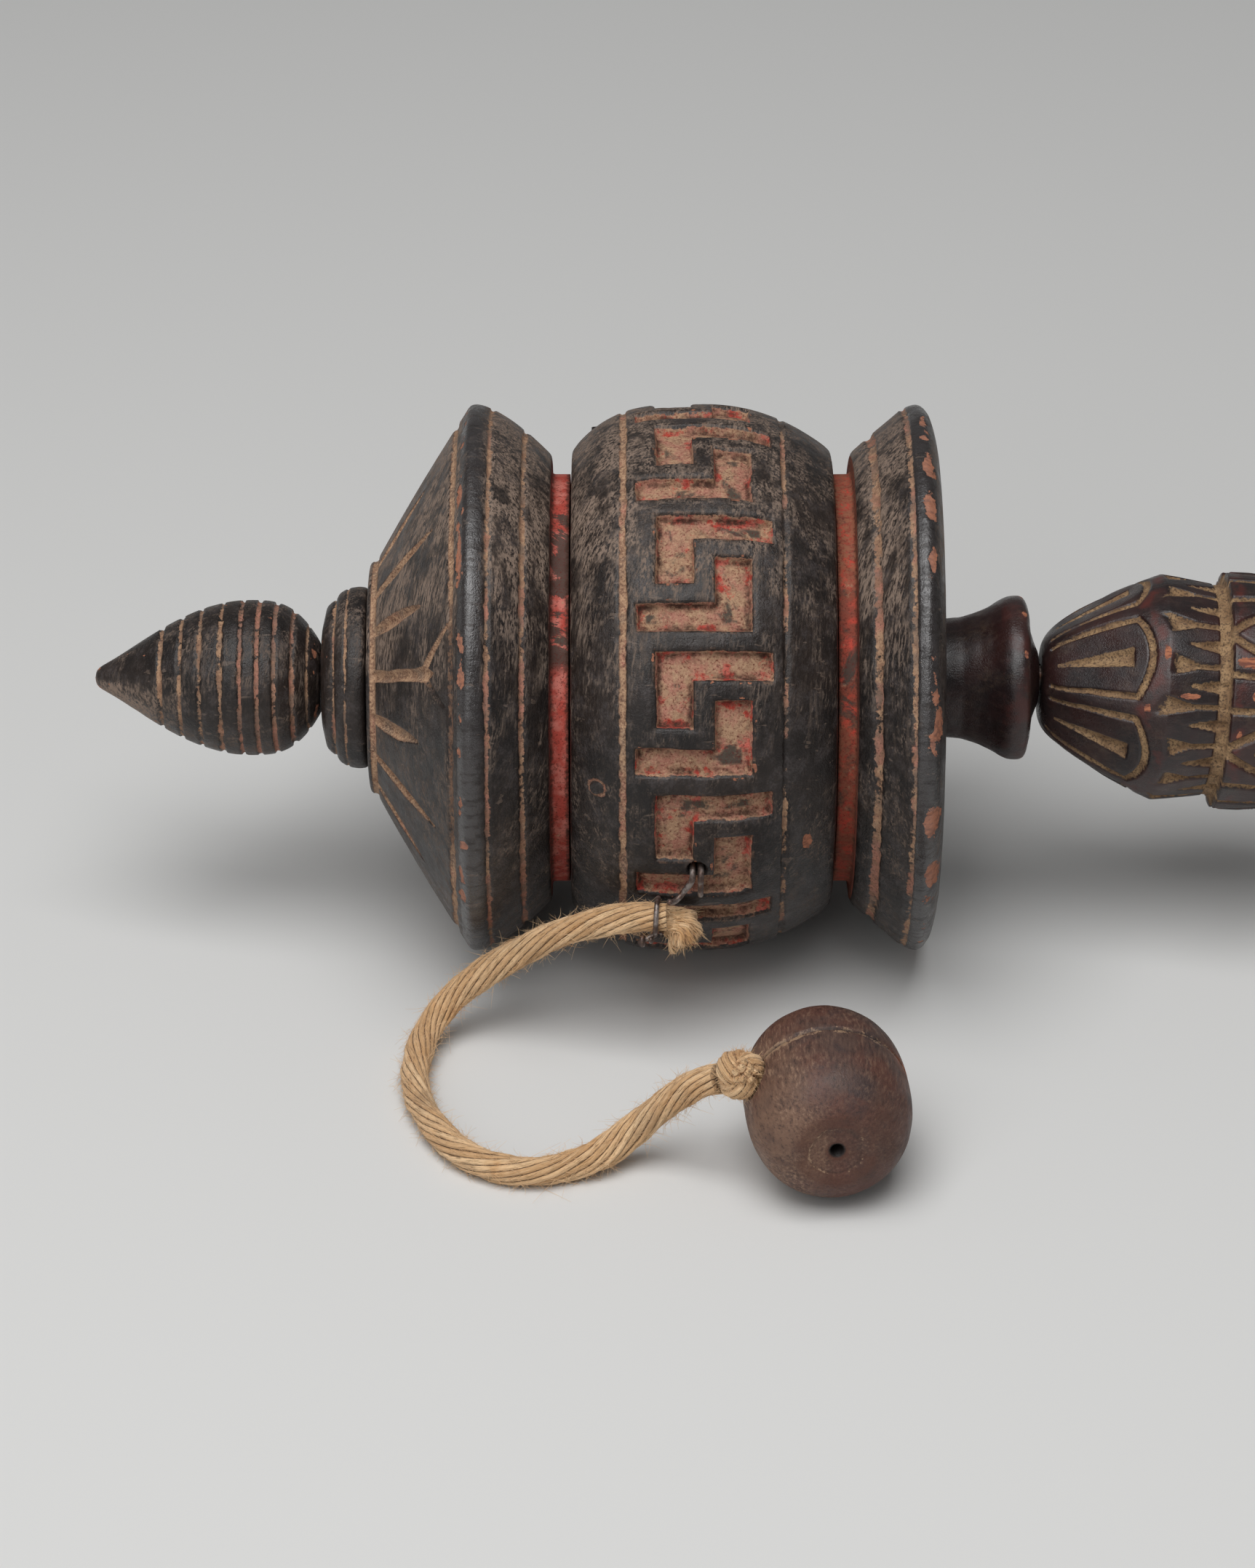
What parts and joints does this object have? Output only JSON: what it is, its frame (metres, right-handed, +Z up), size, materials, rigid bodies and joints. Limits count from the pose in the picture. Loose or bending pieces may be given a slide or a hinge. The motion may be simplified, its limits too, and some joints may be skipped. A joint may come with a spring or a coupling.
{
  "type": "hand-held prayer wheel",
  "caption": "Carved wooden drum that spins on an iron spindle in a carved handle, with a pull-off finial, a loose collar and a cord with a turned wooden weight; it lies on its side.",
  "frame": {"origin": "on the floor under the middle of the object's box, measured without the cord and weight", "axes": "+X along the spindle from the finial to the handle, +Z up, -Y the side that the cord lies on"},
  "size_m": [0.3051, 0.1378, 0.0901],
  "materials": {
    "lacquered_wood": "worn black lacquer on turned wood, red ochre in the sunk parts",
    "maroon_wood": "dark red-brown carved wood, polished by hands",
    "worn_wood": "dull worn brown wood",
    "iron": "dark drawn iron, slightly rusted",
    "jute": "twisted jute yarn",
    "bone": "smooth cut bone",
    "bamboo": "plain bamboo tube",
    "paper": "rolled handmade paper",
    "silk": "yellow silk wrap",
    "string": "red cotton string"
  },
  "bodies": {
    "handle": {"handle": "maroon_wood", "spindle_rod": "iron"},
    "drum": {"drum_barrel": "lacquered_wood", "drum_lid": "lacquered_wood", "drum_base": "lacquered_wood", "neck_spool": "maroon_wood", "lid_bush": "bone", "base_bush": "bone", "axle_tube": "bamboo", "prayer_scroll": "paper", "scroll_wrap": "silk", "scroll_tie_lid": "string", "scroll_tie_base": "string", "lid_peg_1": "lacquered_wood", "lid_peg_2": "lacquered_wood", "lid_peg_3": "lacquered_wood", "drum_staple": "iron"},
    "collar": {"finial_collar": "lacquered_wood"},
    "finial": {"finial": "lacquered_wood"},
    "line": {"wire_tie": "iron", "cord": "jute", "cord_tuft": "jute", "cord_knot": "jute", "weight": "worn_wood"}
  },
  "joints": [
    {"name": "drum_spin", "type": "hinge", "parent": "handle", "child": "drum", "pos_m": [-0.05238, 0, 0.04503], "axis": [1, 0, 0], "continuous": true},
    {"name": "collar_spin", "type": "hinge", "parent": "handle", "child": "collar", "pos_m": [-0.11088, 0, 0.04503], "axis": [1, 0, 0], "continuous": true},
    {"name": "finial_pull", "type": "slide", "parent": "handle", "child": "finial", "axis": [-1, 0, 0], "range_m": [0, 0.014]},
    {"name": "line_swing", "type": "hinge", "parent": "drum", "child": "line", "pos_m": [-0.05758, -0.0452, 0.029], "axis": [-1, 0, 0], "range_deg": [0, 70]}
  ]
}
